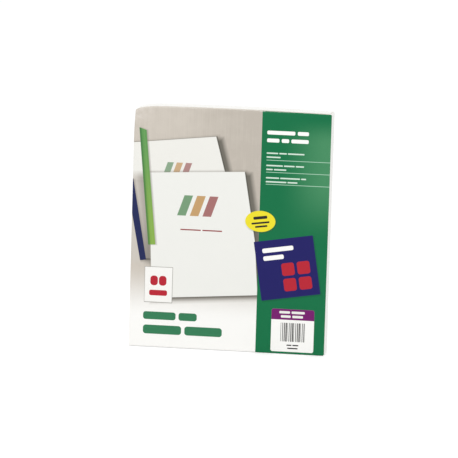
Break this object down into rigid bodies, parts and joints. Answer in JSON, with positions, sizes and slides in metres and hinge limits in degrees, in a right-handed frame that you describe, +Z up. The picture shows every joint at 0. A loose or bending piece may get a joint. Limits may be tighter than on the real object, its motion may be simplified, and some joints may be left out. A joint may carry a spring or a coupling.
{
  "type": "sealed carton of report covers",
  "caption": "Slim upright paperboard carton, glued shut, holding clear report covers and slide bars, with a printed front and a crushed upper corner.",
  "frame": {"origin": "middle of the base, on the surface it stands on", "axes": "+Z up, -Y out of the printed front, +X to the right of the front"},
  "size_m": [0.24, 0.032, 0.2962],
  "materials": {
    "printed_board": "satin"
  },
  "bodies": {
    "root": {"carton": "printed_board"}
  },
  "joints": []
}
